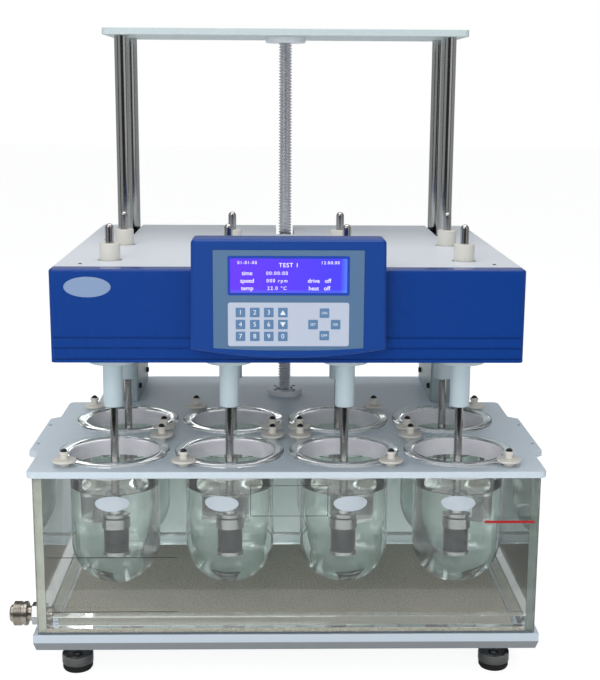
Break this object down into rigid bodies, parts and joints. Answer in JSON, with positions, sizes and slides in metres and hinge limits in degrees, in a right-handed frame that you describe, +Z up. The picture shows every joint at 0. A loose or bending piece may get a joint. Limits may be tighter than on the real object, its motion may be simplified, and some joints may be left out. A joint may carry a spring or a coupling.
{
  "type": "tablet dissolution tester",
  "caption": "Bench instrument: glass water bath with two rows of round-bottomed vessels, and a drive head that turns baskets on vertical shafts and lifts on columns by a lead screw.",
  "frame": {"origin": "on the bench plane, under the middle of the whole footprint, from drain coupling to side tab and from panel to top plate", "axes": "+X to the right seen from the front, +Y to the back, +Z up"},
  "size_m": [0.65, 0.5274, 0.78],
  "materials": {
    "base_enamel": "satin enamel",
    "foot_metal": "turned, on a black rubber pad",
    "bath_glass": "clear float glass",
    "drain_metal": "turned steel",
    "plate_enamel": "satin enamel",
    "vessel_glass": "clear borosilicate",
    "ivory_plastic": "turned, satin",
    "block_enamel": "satin enamel",
    "column_steel": "ground and polished",
    "top_enamel": "satin enamel",
    "white_plastic": "satin",
    "screw_steel": "rolled thread",
    "nut_bronze": "machined",
    "motor_enamel": "black enamel",
    "cabinet_enamel": "satin enamel",
    "switch_plastic": "moulded",
    "chassis_metal": "machined",
    "cover_enamel": "fine satin enamel",
    "fascia_blue": "gloss enamel",
    "housing_blue": "fine satin",
    "film": "printed film",
    "sleeve_white": "anodised, satin",
    "belt_rubber": "moulded, toothed",
    "shaft_steel": "ground and polished",
    "basket_steel": "woven screen and turned rings"
  },
  "bodies": {
    "stand": {"base_tray": "base_enamel", "glass_bath": "bath_glass", "drain_fitting": "drain_metal", "vessel_plate": "plate_enamel", "vessel_1": "vessel_glass", "vessel_2": "vessel_glass", "vessel_3": "vessel_glass", "vessel_4": "vessel_glass", "vessel_5": "vessel_glass", "vessel_6": "vessel_glass", "vessel_7": "vessel_glass", "vessel_8": "vessel_glass", "vessel_hold_downs": "ivory_plastic", "column_blocks": "block_enamel", "columns": "column_steel", "top_plate": "top_enamel", "screw_bearings": "white_plastic", "lift_gearmotor": "motor_enamel", "rear_cabinet": "cabinet_enamel"},
    "head": {"head_chassis": "chassis_metal", "head_cover": "cover_enamel", "front_fascia": "fascia_blue", "control_housing": "housing_blue", "membrane_panel": "film", "guide_sleeves": "sleeve_white", "drive_belt": "belt_rubber", "drive_motor": "motor_enamel", "lead_nut": "nut_bronze"},
    "screw": {"lead_screw": "screw_steel"},
    "drain_sleeve": {"drain_coupling_sleeve": "drain_metal"},
    "mains_rocker": {"power_switch": "switch_plastic"},
    "motor_drive": {"motor_pulley": "chassis_metal"},
    "foot_front_left": {"levelling_foot_front_left": "foot_metal"},
    "foot_front_right": {"levelling_foot_front_right": "foot_metal"},
    "foot_rear_left": {"levelling_foot_rear_left": "foot_metal"},
    "foot_rear_right": {"levelling_foot_rear_right": "foot_metal"},
    "spindle_1": {"drive_hub_1": "ivory_plastic", "stirring_shaft_1": "shaft_steel", "basket_1": "basket_steel"},
    "spindle_2": {"drive_hub_2": "ivory_plastic", "stirring_shaft_2": "shaft_steel", "basket_2": "basket_steel"},
    "spindle_3": {"drive_hub_3": "ivory_plastic", "stirring_shaft_3": "shaft_steel", "basket_3": "basket_steel"},
    "spindle_4": {"drive_hub_4": "ivory_plastic", "stirring_shaft_4": "shaft_steel", "basket_4": "basket_steel"},
    "spindle_5": {"drive_hub_5": "ivory_plastic", "stirring_shaft_5": "shaft_steel", "basket_5": "basket_steel"},
    "spindle_6": {"drive_hub_6": "ivory_plastic", "stirring_shaft_6": "shaft_steel", "basket_6": "basket_steel"},
    "spindle_7": {"drive_hub_7": "ivory_plastic", "stirring_shaft_7": "shaft_steel", "basket_7": "basket_steel"},
    "spindle_8": {"drive_hub_8": "ivory_plastic", "stirring_shaft_8": "shaft_steel", "basket_8": "basket_steel"}
  },
  "joints": [
    {"name": "head_lift", "type": "slide", "parent": "stand", "child": "head", "axis": [0, 0, 1], "range_m": [0, 0.24]},
    {"name": "lead_screw_turn", "type": "hinge", "parent": "stand", "child": "screw", "pos_m": [0.009, 0.1407, 0.4], "axis": [0, 0, 1], "range_deg": [-21700, 0]},
    {"name": "spindle_1_spin", "type": "hinge", "parent": "head", "child": "spindle_1", "pos_m": [-0.201, -0.1603, 0.4], "axis": [0, 0, 1], "continuous": true},
    {"name": "spindle_2_spin", "type": "hinge", "parent": "head", "child": "spindle_2", "pos_m": [-0.061, -0.1603, 0.4], "axis": [0, 0, 1], "continuous": true},
    {"name": "spindle_3_spin", "type": "hinge", "parent": "head", "child": "spindle_3", "pos_m": [0.079, -0.1603, 0.4], "axis": [0, 0, 1], "continuous": true},
    {"name": "spindle_4_spin", "type": "hinge", "parent": "head", "child": "spindle_4", "pos_m": [0.219, -0.1603, 0.4], "axis": [0, 0, 1], "continuous": true},
    {"name": "spindle_5_spin", "type": "hinge", "parent": "head", "child": "spindle_5", "pos_m": [-0.201, -0.0123, 0.4], "axis": [0, 0, 1], "continuous": true},
    {"name": "spindle_6_spin", "type": "hinge", "parent": "head", "child": "spindle_6", "pos_m": [-0.061, -0.0123, 0.4], "axis": [0, 0, 1], "continuous": true},
    {"name": "spindle_7_spin", "type": "hinge", "parent": "head", "child": "spindle_7", "pos_m": [0.079, -0.0123, 0.4], "axis": [0, 0, 1], "continuous": true},
    {"name": "spindle_8_spin", "type": "hinge", "parent": "head", "child": "spindle_8", "pos_m": [0.219, -0.0123, 0.4], "axis": [0, 0, 1], "continuous": true},
    {"name": "motor_pulley_spin", "type": "hinge", "parent": "head", "child": "motor_drive", "pos_m": [0.237, -0.0863, 0.45], "axis": [0, 0, 1], "continuous": true},
    {"name": "foot_front_left_turn", "type": "hinge", "parent": "stand", "child": "foot_front_left", "pos_m": [-0.248, -0.1953, 0], "axis": [0, 0, 1], "range_deg": [-360, 360]},
    {"name": "foot_front_right_turn", "type": "hinge", "parent": "stand", "child": "foot_front_right", "pos_m": [0.266, -0.1953, 0], "axis": [0, 0, 1], "range_deg": [-360, 360]},
    {"name": "foot_rear_left_turn", "type": "hinge", "parent": "stand", "child": "foot_rear_left", "pos_m": [-0.248, 0.2057, 0], "axis": [0, 0, 1], "range_deg": [-360, 360]},
    {"name": "foot_rear_right_turn", "type": "hinge", "parent": "stand", "child": "foot_rear_right", "pos_m": [0.266, 0.2057, 0], "axis": [0, 0, 1], "range_deg": [-360, 360]},
    {"name": "drain_sleeve_slide", "type": "slide", "parent": "stand", "child": "drain_sleeve", "axis": [1, 0, 0], "range_m": [0, 0.004], "stiffness_N_per_m": 400, "springref_m": -0.002},
    {"name": "mains_rocker_tilt", "type": "hinge", "parent": "stand", "child": "mains_rocker", "pos_m": [0.113, 0.2427, 0.11], "axis": [1, 0, 0], "range_deg": [-12, 0]}
  ],
  "couplings": [
    {"joint": "lead_screw_turn", "follows": "head_lift", "rad_per_m": -1570.8},
    {"joint": "spindle_2_spin", "follows": "spindle_1_spin", "ratio": 1},
    {"joint": "spindle_3_spin", "follows": "spindle_1_spin", "ratio": 1},
    {"joint": "spindle_4_spin", "follows": "spindle_1_spin", "ratio": 1},
    {"joint": "spindle_5_spin", "follows": "spindle_1_spin", "ratio": 1},
    {"joint": "spindle_6_spin", "follows": "spindle_1_spin", "ratio": 1},
    {"joint": "spindle_7_spin", "follows": "spindle_1_spin", "ratio": 1},
    {"joint": "spindle_8_spin", "follows": "spindle_1_spin", "ratio": 1},
    {"joint": "motor_pulley_spin", "follows": "spindle_1_spin", "ratio": 1}
  ]
}
